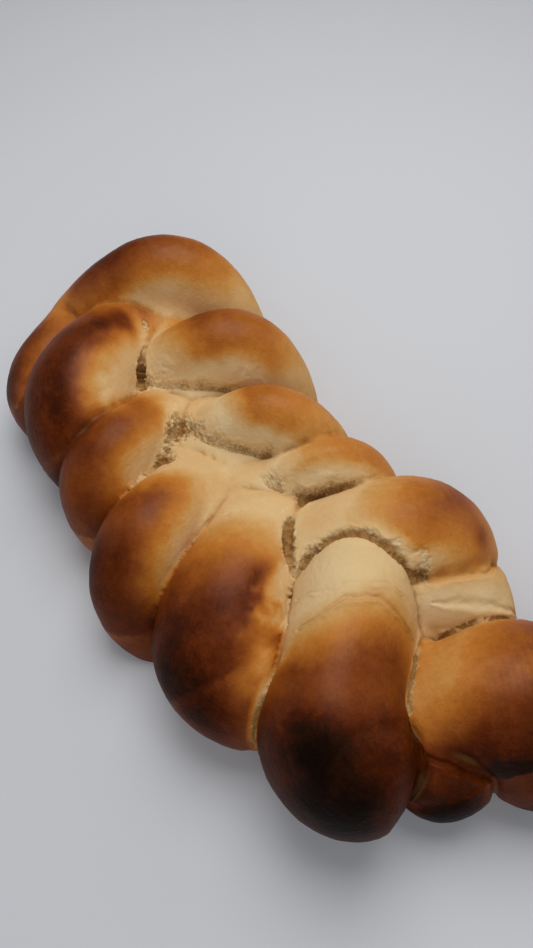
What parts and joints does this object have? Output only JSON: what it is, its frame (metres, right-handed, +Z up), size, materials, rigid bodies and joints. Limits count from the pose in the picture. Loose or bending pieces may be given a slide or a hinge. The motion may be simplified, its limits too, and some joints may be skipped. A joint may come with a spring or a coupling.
{
  "type": "braided loaf",
  "caption": "Long plaited egg bread loaf with plump overlapping lobes, glossy brown crust and pale torn crumb showing along the seams.",
  "frame": {"origin": "centre of the base of the loaf's bounding box", "axes": "+X along the loaf towards the end that is nearest in the picture, +Y towards its paler flank, +Z up from the flat base"},
  "size_m": [0.3738, 0.1754, 0.0769],
  "materials": {
    "bread": "glossy egg-washed brown crust, straw-coloured torn crumb in the seams"
  },
  "bodies": {
    "root": {"loaf": "bread"}
  },
  "joints": []
}
